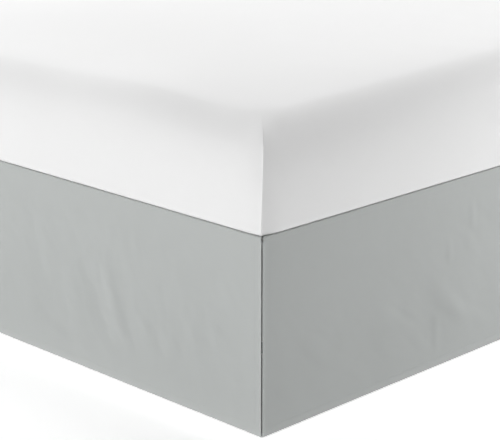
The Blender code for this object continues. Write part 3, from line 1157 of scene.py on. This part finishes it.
@dataclass(frozen=True)
class Mattress:
    """A mattress in its plain white cover, drawn tight over the rim and down along the ends."""

    bed: BedSizes
    cover: Cloth
    rings: tuple[Ring, ...] = (
        Ring(0.0036, 0.0000, 0.060, 0.050, 0.0052, 0.0020, 1),
        Ring(0.0015, 0.0014, 0.060, 0.050, 0.0052, 0.0020, 1),
        Ring(0.0004, 0.0034, 0.060, 0.050, 0.0052, 0.0020, 1),
        Ring(-0.0002, 0.0075, 0.060, 0.050, 0.0052, 0.0020, 1),
        Ring(-0.0006, 0.0140, 0.060, 0.050, 0.0051, 0.0021, 4),
        Ring(-0.0022, 0.0400, 0.060, 0.050, 0.0046, 0.0024, 5),
        Ring(-0.0026, 0.0760, 0.060, 0.050, 0.0038, 0.0030, 5),
        Ring(-0.0012, 0.1030, 0.060, 0.050, 0.0032, 0.0034, 4),
        Ring(0.0022, 0.1280, 0.060, 0.050, 0.0026, 0.0040, 4),
        Ring(0.0070, 0.1490, 0.060, 0.050, 0.0024, 0.0046, 4),
        Ring(0.0135, 0.1685, 0.062, 0.052, 0.0028, 0.0056, 4),
        Ring(0.0216, 0.1840, 0.065, 0.055, 0.0044, 0.0074, 4),
        Ring(0.0320, 0.1980, 0.071, 0.061, 0.0082, 0.0100, 4),
        Ring(0.0450, 0.2095, 0.079, 0.070, 0.0124, 0.0136, 4),
        Ring(0.0600, 0.2175, 0.089, 0.081, 0.0170, 0.0174, 4),
        Ring(0.0742, 0.2212, 0.098, 0.092, 0.0208, 0.0208, 3),
        Ring(0.0950, 0.2232, 0.108, 0.104, 0.0245, 0.0245, 3),
        Ring(0.1300, 0.2246, 0.120, 0.118, 0.0290, 0.0290, 4),
        Ring(0.1800, 0.2260, 0.128, 0.128, 0.0320, 0.0320, 5),
        Ring(0.2500, 0.2279, 0.130, 0.130, 0.0325, 0.0325, 5),
        Ring(0.3600, 0.2305, 0.130, 0.130, 0.0325, 0.0325, 7),
        Ring(0.5500, 0.2335, 0.130, 0.130, 0.0325, 0.0325, 6),
        Ring(0.7100, 0.2341, 0.040, 0.040, 0.0100, 0.0100, 1),
    )
    end_steps: int = 150
    side_steps: int = 190
    crowding: float = 0.6  # of the points towards the corners
    shoulder: tuple[float, float] = (0.080, 0.214)  # the levels between which the dips come in
    uneven: float = 0.0010
    uneven_x: tuple[float, float] = (5.1, 1.3)  # radians a metre across the top, and a start
    uneven_y: tuple[float, float] = (4.3, 0.4)
    side_dip: float = 0.019  # of the top along the long faces, beside the corner
    side_rise: float = 0.027  # from there on, over the side's run from the corner
    side_run: tuple[float, float] = (0.10, 0.85)
    side_belt: float = 0.140  # half how far in from the face it reaches
    end_dip: float = 0.0225  # of the top along the end faces
    end_turn: tuple[float, float] = (0.30, 0.75)  # round the corner, over which it comes in
    end_belt: float = 0.450
    hold: tuple[float, float] = (0.45, 0.50)  # the shares of both dips missing beside the corner
    hold_reach: float = 0.045
    crest: float = 0.40  # the share of the end dip missing at one place along the end
    crest_at: float = 0.37
    crest_width: float = 0.16
    wrinkle: float = 0.00035
    wrinkle_size: tuple[float, float, float] = (0.11, 0.07, 0.09)
    pleat_belt: float = 0.012  # how far in from the faces the pleats reach
    seam_height: float = 0.0005
    seam_fade: tuple[float, float] = (0.020, 0.045)  # the insets between which it goes

    def fine_rings(self) -> list[Ring]:
        """Read the rings' smooth curve at each step between them.

        Returns:
            All the rings, from the lowest to the innermost.
        """
        rings = [self.rings[0], *self.rings, self.rings[-1]]
        fine = []
        for before, ring, after, beyond in zip(rings, rings[1:], rings[2:], rings[3:]):
            shares = [i / ring.steps for i in range(ring.steps)]
            fine += [ring.towards(before, after, beyond, share) for share in shares]
        return fine + [self.rings[-1]]

    def outline(self, ring: Ring) -> list[Vector]:
        """Draw a ring's outline, with a seam down each corner.

        Args:
            ring: the ring.

        Returns:
            Its points, which start on the foot face at the right-hand corner.
        """
        half = Vector((self.bed.width / 2 - ring.inset, self.bed.length / 2 - ring.inset))
        corner = ring.corner(self.seam_height * (1 - ease(*self.seam_fade, ring.inset)))
        points = []
        for sign, leaving, steps in (
            (Vector((1, -1)), Vector((0, 1)), self.side_steps),
            (Vector((1, 1)), Vector((-1, 0)), self.end_steps),
            (Vector((-1, 1)), Vector((0, -1)), self.side_steps),
            (Vector((-1, -1)), Vector((1, 0)), self.end_steps),
        ):
            turn = [sign * (half - inwards) for inwards in corner]
            points += turn if steps == self.side_steps else reversed(turn)
            start = points[-1]
            run = 2 * abs(start.dot(leaving))
            shares = [i / steps for i in range(1, steps)]
            points += [start + leaving * run * (u - self.crowding * sin(tau * u) / tau) for u in shares]
        return points

    def settled(self, point: Vector, height: float) -> float:
        """Find how far the mattress lies below its ring's level.

        Args:
            point: where, seen from above.
            height: the ring's height.

        Returns:
            The dip, which is largest along the ends and smallest in the middle of the sides.
        """
        share = ease(*self.shoulder, height)
        (pace_x, start_x), (pace_y, start_y) = self.uneven_x, self.uneven_y
        swell = 0.5 + 0.5 * sin(pace_x * point.x + start_x) * sin(pace_y * point.y + start_y)
        edges = self.from_edges(point)
        dip = self.uneven * swell
        turn = ease(*self.end_turn, edges.x / max(edges.x + edges.y, GAP))
        end = 1 - self.crest * bell((edges.x - self.crest_at) / self.crest_width)
        end -= self.hold[0] * bell(edges.x / self.hold_reach)
        side = self.side_dip * (1 - self.hold[1] * bell(edges.y / self.hold_reach))
        side -= self.side_rise * ease(*self.side_run, edges.y)
        dip += self.end_dip * end * turn * bell(edges.y / self.end_belt)
        dip += side * (1 - turn) * bell(edges.x / self.side_belt)
        return share * dip

    def from_edges(self, point: Vector) -> Vector:
        """Give a point's distances from the long faces and from the foot or head face."""
        return Vector((self.bed.width / 2 - abs(point.x), self.bed.length / 2 - abs(point.y)))

    def worn(self, point: Vector, height: float) -> Vector:
        """Add the cover's pleats and wrinkles to a point.

        Args:
            point: the point, seen from above.
            height: its ring's height.

        Returns:
            The point on the cover.
        """
        edges = self.from_edges(point)
        lie = Vector((point.x, point.y, height - self.settled(point, height)))
        belt = self.pleat_belt
        on_end = bell(edges.y / belt) * ease(0.0, belt, edges.x)
        on_side = bell(edges.x / belt) * ease(0.0, belt, edges.y)
        out_y = on_end * sum(pleat.at(edges.x, height) for pleat in END_PLEATS)
        out_x = on_side * sum(pleat.at(edges.y, height) for pleat in SIDE_PLEATS)
        lie.y += out_y if point.y > 0 else -out_y
        lie.x += out_x if point.x > 0 else -out_x
        across, along, upright = self.wrinkle_size
        grain = noise.noise(Vector((point.x / across, point.y / along, height / upright)))
        lie.z += self.wrinkle * grain * ease(*self.shoulder, height)
        return lie

    def build(self) -> list[Object]:
        """Returns:
            The mattress alone.
        """
        floor = self.bed.deck_top + GAP
        outlines = []
        for ring in self.fine_rings():
            points = [self.worn(point, ring.height) for point in self.outline(ring)]
            outlines.append([point + Vector((0, 0, floor)) for point in points])
        form = lofted(outlines)
        chart_by_side(form)
        cover = self.cover.material()
        piece = as_piece("mattress_in_cover", form, cover, ["mattress"], sharp=70.0)
        return [piece]


@dataclass(frozen=True)
class CoveredBase:
    """A firm base in a woven cover, with a welt round its upper and lower edge."""

    bed: BedSizes
    cover: Cloth
    welt: float = 0.0035  # radius
    welt_arc: tuple[float, float] = (-0.45 * pi, 0.40 * pi)  # of the lower one, from level
    welt_step: float = 0.35
    border_inset: float = 0.0032
    border_gap: float = 0.001  # from the welts
    border_pitch: float = 0.012
    bulge: float = 0.0018
    flat_insets: tuple[float, float, float] = (0.200, 0.060, 0.012)  # of the top and the underside
    corner: float = 0.014
    corner_steps: int = 10
    side_pitch: float = 0.016
    wrinkle: float = 0.0004
    wrinkle_size: tuple[float, float] = (0.16, 0.05)  # along the cover, and upright
    on_side: float = 0.001  # points this near to a side are on it

    def profile(self, height: float) -> list[tuple[float, float]]:
        """Draw the cover's section.

        Args:
            height: the base's height.

        Returns:
            Each step's inset from the base's size and its height above the underside.
        """
        angles = steps_between(*self.welt_arc, self.welt_step)
        lower = [(self.welt * (1 - cos(a)), self.welt * (1 + sin(a))) for a in angles]
        upper = [(inset, height - up) for inset, up in reversed(lower)]
        start = 2 * self.welt + self.border_gap
        stop = height - start
        border = []
        for up in steps_between(start, stop, self.border_pitch):
            out = self.bulge * sin(pi * (up - start) / (stop - start))
            border.append((self.border_inset - out, up))
        under = [(inset, 0.0) for inset in self.flat_insets]
        top = [(inset, height) for inset in reversed(self.flat_insets)]
        return under + lower + border + upper + top

    def build(self) -> list[Object]:
        """Make the covered base.

        Returns:
            The base alone.
        """
        low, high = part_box("base")
        outlines = []
        for inset, up in self.profile(high.z - low.z):
            half = Vector((high.x - inset, high.y - inset))
            outlines.append([self.worn(point, low.z + up, half) for point in self.outline(half.x, half.y)])
        form = lofted(outlines)
        chart_by_side(form)
        cover = self.cover.material()
        return [as_piece("base_in_cover", form, cover, ["base"], sharp=60.0)]

    def outline(self, half_x: float, half_y: float) -> list[Vector]:
        """Draw a rectangle with round corners.

        Args:
            half_x: half its width.
            half_y: half its length.

        Returns:
            Its points.
        """
        points = []
        for quarter, (x, y) in enumerate(((1, -1), (1, 1), (-1, 1), (-1, -1))):
            centre = Vector((x * (half_x - self.corner), y * (half_y - self.corner)))
            for step in range(self.corner_steps + 1):
                angle = pi / 2 * (quarter - 1 + step / self.corner_steps)
                points.append(centre + self.corner * Vector((cos(angle), sin(angle))))
            run = 2 * ((half_y if quarter % 2 == 0 else half_x) - self.corner)
            heading = Vector((-y, 0)) if quarter % 2 else Vector((0, 1 if quarter == 0 else -1))
            start = points[-1]
            full = self.bed.length if quarter % 2 == 0 else self.bed.width
            steps = round(full / self.side_pitch)
            points += [start + heading * run * i / steps for i in range(1, steps)]
        return points

    def worn(self, point: Vector, height: float, half: Vector) -> Vector:
        """Add the faint unevenness of the stretched cover.

        Args:
            point: the point, seen from above.
            height: its height.
            half: half the width and length of its ring.

        Returns:
            The point on the cover.
        """
        along, upright = self.wrinkle_size
        slack = self.wrinkle * noise.noise(Vector((point.x / along, point.y / along, height / upright)))
        lie = Vector((point.x, point.y, height))
        for axis in range(2):
            if abs(abs(point[axis]) - half[axis]) < self.on_side:
                lie[axis] += slack if point[axis] > 0 else -slack
        return lie


# ---------------------------------------------------------------------------
# The bed frame
# ---------------------------------------------------------------------------


POLE_WELD = 0.00001  # points on the axis that are closer are one


def turned(profile: Sequence[tuple[float, float]], middle: Vector, steps: int) -> BMesh:
    """Spin a profile about the upright.

    Args:
        profile: the radius and height of its points, from the bottom up, both ends on the axis.
        middle: where the axis stands; the heights start there.
        steps: how many faces go round.

    Returns:
        A new mesh, in place.
    """
    form = bmesh.new()
    verts = [form.verts.new((radius, 0.0, height)) for radius, height in profile]
    edges = [form.edges.new(pair) for pair in zip(verts, verts[1:])]
    bmesh.ops.spin(form, geom=verts + edges, axis=(0, 0, 1), angle=tau, steps=steps, use_merge=True)
    bmesh.ops.remove_doubles(form, verts=form.verts, dist=POLE_WELD)
    bmesh.ops.recalc_face_normals(form, faces=form.faces)
    bmesh.ops.translate(form, vec=middle, verts=form.verts)
    return form


def block(low: Vector, high: Vector) -> BMesh:
    """Make a box.

    Args:
        low: its lowest corner.
        high: its highest corner.

    Returns:
        A new mesh, in place.
    """
    form = bmesh.new()
    bmesh.ops.create_cube(form, size=1.0)
    bmesh.ops.scale(form, vec=high - low, verts=form.verts)
    bmesh.ops.translate(form, vec=(low + high) / 2, verts=form.verts)
    return form


def merged(forms: Sequence[BMesh]) -> BMesh:
    """Gather several meshes in the first of them, and free the others.

    Args:
        forms: the meshes.

    Returns:
        The first mesh.
    """
    whole = forms[0]
    for form in forms[1:]:
        mesh = bpy.data.meshes.new("part")
        form.to_mesh(mesh)
        form.free()
        whole.from_mesh(mesh)
        bpy.data.meshes.remove(mesh)
    return whole


@dataclass(frozen=True)
class SteelTube:
    """A level length of rectangular tube, hollow at its two ends."""

    node: str
    radius: float = 0.0030
    wall: float = 0.0020
    recess: float = 0.0150

    def build(self, paint: Material) -> Object:
        """Make the tube in the box of its CAD node.

        Args:
            paint: its finish.

        Returns:
            The tube.
        """
        low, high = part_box(self.node)
        size = high - low
        run = 0 if size.x > size.y else 1
        form = block(low, high)
        bevelled(form, edges_along(form, run), self.radius, 4)
        for end in [face for face in form.faces if abs(face.normal[run]) > ALONG]:
            inwards = -self.recess * end.normal
            bmesh.ops.inset_region(form, faces=[end], thickness=self.wall)
            deep = bmesh.ops.extrude_discrete_faces(form, faces=[end])["faces"]
            bmesh.ops.translate(form, vec=inwards, verts=deep[0].verts)
        return as_piece(self.node + "_tube", form, paint, [self.node])


@dataclass(frozen=True)
class EndPlug:
    """A plastic plug that closes the end of a rail."""

    thickness: float = 0.0018
    radius: float = 0.0030
    rounding: float = 0.0007

    def build(self, rail: str, end: int, plastic: Material) -> Object:
        """Make a plug.

        Args:
            rail: the rail's CAD node.
            end: -1 for the foot end, 1 for the head end.
            plastic: its finish.

        Returns:
            The plug.
        """
        low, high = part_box(rail)
        face = high.y if end > 0 else low.y
        ends = sorted((face, face + end * self.thickness))
        form = block(Vector((low.x, ends[0], low.z)), Vector((high.x, ends[1], high.z)))
        bevelled(form, edges_along(form, 1), self.radius, 4)
        outer = faces_towards(form, (0, end, 0))[0]
        bevelled(form, outer.edges, self.rounding, 2)
        return as_piece(f"{rail}_plug_{'head' if end > 0 else 'foot'}", form, plastic)


@dataclass(frozen=True)
class CornerBracket:
    """A steel angle and its two bolts, where a cross bar meets a rail."""

    bar: str
    side: int  # -1 for the left-hand rail, 1 for the right-hand one
    facing: int  # 1 where it stands on the bar's head side, -1 on its foot side
    reach: float = 0.030
    height: float = 0.028
    plate: float = 0.0025
    rounding: float = 0.0006
    head: float = 0.0058  # radius of a bolt's head
    head_height: float = 0.0040
    crown: float = 0.0008  # radius of its upper edge
    washer: float = 0.0076
    washer_height: float = 0.0012
    washer_edge: tuple[float, float] = (0.0003, 0.8)  # its slope inwards, from that share of its height
    washer_steps: int = 24

    def build(self, paint: Material) -> list[Object]:
        """Make the angle and the bolts.

        Args:
            paint: the finish of all three.

        Returns:
            The angle, the bolt through the bar and the bolt through the rail.
        """
        rail_low, rail_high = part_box("rail_right" if self.side > 0 else "rail_left")
        bar_low, bar_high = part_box(self.bar)
        inner = rail_low.x if self.side > 0 else rail_high.x
        face = bar_high.y if self.facing > 0 else bar_low.y
        corner = Vector((inner, face, (bar_low.z + bar_high.z) / 2))
        reach, plate = self.reach, self.plate
        outline = [(0, 0), (-reach, 0), (-reach, plate), (-plate, plate), (-plate, reach), (0, reach)]
        form = bmesh.new()
        verts = [form.verts.new((x, y, -self.height / 2)) for x, y in outline]
        bmesh.ops.contextual_create(form, geom=verts)
        risen(form, self.height)
        bevelled(form, square_edges(form), self.rounding, 2)
        bmesh.ops.scale(form, vec=(self.side, self.facing, 1), verts=form.verts)
        bmesh.ops.recalc_face_normals(form, faces=form.faces)
        bmesh.ops.translate(form, vec=corner, verts=form.verts)
        name = f"{self.bar}_bracket_{'right' if self.side > 0 else 'left'}"
        pieces = [as_piece(name, form, paint)]
        middle = (reach + plate) / 2
        for label, spot, heading in (
            ("bar", (-middle, plate, 0), Matrix.Rotation(-pi / 2 * self.facing, 4, "X")),
            ("rail", (-plate, middle, 0), Matrix.Rotation(-pi / 2 * self.side, 4, "Y")),
        ):
            seat = corner + Vector((spot[0] * self.side, spot[1] * self.facing, spot[2]))
            bolt = self.bolt()
            bmesh.ops.transform(bolt, matrix=Matrix.Translation(seat) @ heading, verts=bolt.verts)
            pieces.append(as_piece(f"{name}_{label}_bolt", bolt, paint))
        return pieces

    def bolt(self) -> BMesh:
        """Shape a hexagonal head on its washer.

        Returns:
            A new mesh that stands up from z = 0.
        """
        radius, rise = self.washer, self.washer_height
        slope, share = self.washer_edge
        rim = [(0.0, 0.0), (radius, 0.0), (radius, rise * share), (radius - slope, rise), (0.0, rise)]
        head = bmesh.new()
        size = {"radius1": self.head, "radius2": self.head, "depth": self.head_height}
        bmesh.ops.create_cone(head, cap_ends=True, segments=6, **size)
        bmesh.ops.translate(head, vec=(0, 0, rise + self.head_height / 2), verts=head.verts)
        top = faces_towards(head, (0, 0, 1))[0]
        bevelled(head, top.edges, self.crown, 2)
        return merged([turned(rim, Vector(), self.washer_steps), head])


@dataclass(frozen=True)
class Leg:
    """A round steel leg with a foot plate at its top and a collar, on a moulded glide."""

    place: str  # such as "foot_left"
    plate: tuple[float, float]  # half the sizes of the top plate, across and along the bed
    plate_height: float = 0.0025
    plate_radius: float = 0.004  # of its corners
    collar_low: float = 0.010
    collar_high: float = 0.025
    collar_out: float = 0.0018
    bead: float = 0.0022
    bead_step: float = 0.4
    round_steps: int = 40

    FOOT_EDGE = ((-0.0012, 0.0), (-0.0004, 0.0004), (0.0, 0.0012))  # out from the tube, and up
    COLLAR_EDGE = ((-0.0004, 0.0002), (0.0, 0.0010))  # out from the collar, and in from its end
    SOLE = ((-0.0036, 0.0), (-0.0014, 0.0005), (-0.0003, 0.0018))  # out from the glide's rim, and up
    RIM = ((0.0, 0.0034), (-0.0002, 0.0050), (-0.0012, 0.0064), (-0.0042, 0.0084))
    NECK_FOOT = (0.0022, 0.0130)  # out from the neck, and up
    NECK = ((0.0013, 0.0030), (0.0008, 0.0010), (0.0, 0.0001))  # out from it, and down from the top

    def post(self, radius: float, height: float) -> list[tuple[float, float]]:
        """Draw the leg's profile.

        Args:
            radius: the tube's.
            height: of the leg, without its top plate.

        Returns:
            The radius and height of its points.
        """
        low, high, wide = self.collar_low, self.collar_high, radius + self.collar_out
        foot = [(0.0, 0.0), *((radius + out, up) for out, up in self.FOOT_EDGE), (radius, low)]
        collar = [(wide + out, low + up) for out, up in self.COLLAR_EDGE]
        collar += [(wide + out, high - up) for out, up in reversed(self.COLLAR_EDGE)]
        bead = []
        for angle in steps_between(0, pi / 2, self.bead_step):
            bead.append((radius + self.bead * (1 - cos(angle)), height - self.bead * (1 - sin(angle))))
        return foot + collar + [(radius, high)] + bead + [(0.0, height)]

    def glide(self, radius: float, neck: float, height: float) -> list[tuple[float, float]]:
        """Draw the profile of the glide that the leg stands on.

        Args:
            radius: the glide's.
            neck: the radius of its top.
            height: its height.

        Returns:
            The radius and height of its points.
        """
        lower = [(radius + out, up) for out, up in self.SOLE + self.RIM]
        upper = [(neck + out, height - down) for out, down in self.NECK]
        foot = (neck + self.NECK_FOOT[0], self.NECK_FOOT[1])
        return [(0.0, 0.0), *lower, foot, *upper, (0.0, height)]

    def build(self, paint: Material, plastic: Material) -> list[Object]:
        """Make the leg and its glide.

        Args:
            paint: the leg's finish.
            plastic: the glide's.

        Returns:
            The leg and the glide.
        """
        node, sole = f"leg_{self.place}", f"glide_{self.place}"
        low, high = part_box(node)
        middle = (low + high) / 2
        under = high.z - self.plate_height
        half = Vector((*self.plate, 0.0))
        plate = block(Vector((*middle.xy, under)) - half, Vector((*middle.xy, high.z)) + half)
        bevelled(plate, edges_along(plate, 2), self.plate_radius, 4)
        radius = (high.x - low.x) / 2
        post = turned(self.post(radius, under - low.z), Vector((*middle.xy, low.z)), self.round_steps)
        floor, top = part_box(sole)
        profile = self.glide((top.x - floor.x) / 2, radius, top.z - floor.z)
        moulding = turned(profile, Vector((*middle.xy, floor.z)), self.round_steps)
        return [
            as_piece(node + "_post", merged([post, plate]), paint, [node]),
            as_piece(sole + "_moulding", moulding, plastic, [sole]),
        ]


@dataclass(frozen=True)
class BedFrame:
    """Two rails and three cross bars of steel tube, on nine legs with glides."""

    paint: HardFinish
    plastic: HardFinish
    side_plate: tuple[float, float] = (0.0120, 0.0300)  # half the sizes of a leg's top plate
    centre_plate: tuple[float, float] = (0.0255, 0.0120)

    def build(self) -> list[Object]:
        """Make all the frame's pieces.

        Returns:
            The rails with their plugs, then each cross bar with its brackets and legs.
        """
        paint, plastic = self.paint.material(), self.plastic.material()
        pieces = []
        for rail in ("rail_left", "rail_right"):
            pieces.append(SteelTube(rail).build(paint))
            pieces += [EndPlug().build(rail, end, plastic) for end in (-1, 1)]
        for row, facing in (("foot", 1), ("middle", 1), ("head", -1)):
            bar = f"cross_bar_{row}"
            pieces.append(SteelTube(bar).build(paint))
            for side in (-1, 1):
                pieces += CornerBracket(bar, side, facing).build(paint)
            for column in ("left", "centre", "right"):
                plate = self.centre_plate if column == "centre" else self.side_plate
                pieces += Leg(f"{row}_{column}", plate).build(paint, plastic)
        return pieces


# ---------------------------------------------------------------------------
# The studio
# ---------------------------------------------------------------------------


@dataclass(frozen=True)
class SoftBox:
    """A square soft light."""

    name: str
    place: tuple[float, float, float]
    aim: tuple[float, float, float]
    size: float
    power: float

    def build(self) -> None:
        """Hang the light."""
        lamp = bpy.data.lights.new(self.name, "AREA")
        lamp.shape = "SQUARE"
        lamp.size = self.size
        lamp.energy = self.power
        light = bpy.data.objects.new(self.name, lamp)
        light.location = self.place
        light.rotation_euler = (Vector(self.aim) - Vector(self.place)).to_track_quat("-Z", "Y").to_euler()
        light.visible_camera = False
        bpy.context.scene.collection.objects.link(light)


@dataclass(frozen=True)
class Studio:
    """A pale floor, soft light and a camera that looks down on the right-hand foot corner."""

    floor: LitFloor
    sky: float = 0.16
    floor_size: float = 60.0
    camera_place: tuple[float, float, float] = (2.7957, -3.0950, 1.2951)
    camera_down: float = 16.717  # degrees below level
    camera_turn: float = 44.809  # degrees about the upright
    lens: float = 125.43
    lights: tuple[SoftBox, ...] = (
        SoftBox("foot_light", (0.2, -5.0, 2.2), (0.2, -1.0, 0.4), 1.6, 113.0),
        SoftBox("far_left_light", (-7.0, -4.5, 1.0), (0.4, -1.0, 0.4), 1.6, 240.0),
        SoftBox("right_light", (2.3, 2.0, 1.2), (0.76, 0.4, 0.4), 0.9, 86.0),
        SoftBox("left_light", (-2.5, -0.5, 3.0), (0.0, -0.5, 0.6), 2.0, 78.0),
        SoftBox("far_top_light", (-4.0, 12.0, 13.0), (0.0, 0.0, 0.6), 8.0, 2430.0),
    )

    def build(self) -> None:
        """Set up the floor, the lights, the sky and the camera."""
        scene = bpy.context.scene
        self.lay_floor()
        for light in self.lights:
            light.build()
        world = bpy.data.worlds.new("soft_sky")
        world.use_nodes = True
        background = world.node_tree.nodes["Background"]
        background.inputs["Color"].default_value = (1.0, 1.0, 1.0, 1.0)
        background.inputs["Strength"].default_value = self.sky
        scene.world = world
        lens = bpy.data.cameras.new("camera")
        lens.lens = self.lens
        camera = bpy.data.objects.new("camera", lens)
        camera.location = self.camera_place
        camera.rotation_euler = (radians(90 - self.camera_down), 0.0, radians(self.camera_turn))
        scene.collection.objects.link(camera)
        scene.camera = camera
        scene.view_settings.view_transform = "Standard"

    def lay_floor(self) -> None:
        """Lay the floor just under the bed's feet."""
        form = bmesh.new()
        bmesh.ops.create_grid(form, x_segments=1, y_segments=1, size=self.floor_size / 2)
        mesh = bpy.data.meshes.new("studio_floor")
        form.to_mesh(mesh)
        form.free()
        mesh.materials.append(self.floor.material())
        floor = bpy.data.objects.new("studio_floor", mesh)
        bpy.context.scene.collection.objects.link(floor)


# ---------------------------------------------------------------------------
# Putting it together
# ---------------------------------------------------------------------------

SKIRT_CLOTH = Cloth(
    name="skirt_cloth_woven",
    colour=(0.348, 0.361, 0.355),
    weave=Weave.PLAIN,
    pitch=0.00042,
    thread_height=0.000012,
    mottle=0.02,
    rumple=0.00010,
    rumple_size=0.022,
    roughness=0.86,
    sheen=0.12,
)
SKIRT_THREAD = SewingThread("skirt_thread", (0.335, 0.348, 0.343))
COVER_CLOTH = Cloth(
    name="cover_sheeting",
    colour=(0.634, 0.634, 0.634),
    weave=Weave.PLAIN,
    pitch=0.00036,
    thread_height=0.000010,
    mottle=0.008,
    rumple=0.00010,
    rumple_size=0.035,
    roughness=0.82,
    sheen=0.10,
)
BASE_CLOTH = Cloth(
    name="base_ticking",
    colour=(0.70, 0.69, 0.66),
    weave=Weave.TWILL,
    pitch=0.00120,
    thread_height=0.000060,
    mottle=0.03,
    rumple=0.00012,
    rumple_size=0.030,
    roughness=0.88,
    sheen=0.10,
)
FRAME_PAINT = HardFinish(
    name="frame_powder_coat",
    colour=(0.055, 0.055, 0.060),
    roughness=0.46,
    rough_swing=0.16,
    mottle=0.12,
    grain=0.0011,
    grain_detail=2.0,
    grain_height=0.00002,
    marks=0.09,
    mark_detail=4.0,
)
GLIDE_PLASTIC = HardFinish(
    name="glide_moulded",
    colour=(0.030, 0.030, 0.032),
    roughness=0.52,
    rough_swing=0.2,
    mottle=0.2,
    grain=0.0006,
    grain_detail=1.0,
    grain_height=0.000015,
    marks=0.012,
    mark_detail=5.0,
)


def main() -> None:
    """Build and report every piece, then the studio."""
    logging.basicConfig(level=logging.INFO, format="%(message)s")
    bed = BedSizes.from_frame()
    assemblies = (
        Skirt(bed, SKIRT_CLOTH, SKIRT_THREAD),
        Mattress(bed, COVER_CLOTH),
        CoveredBase(bed, BASE_CLOTH),
        BedFrame(FRAME_PAINT, GLIDE_PLASTIC),
    )
    for assembly in assemblies:
        for piece in assembly.build():
            LOG.info("%s: %d faces", piece.name, len(piece.data.polygons))
    half_bed = (bed.width / 2, bed.length / 2)
    floor = LitFloor(name="pale_floor", colour=(0.80, 0.80, 0.80), half_bed=half_bed, strength=0.90)
    Studio(floor).build()


if __name__ == "__main__":
    main()
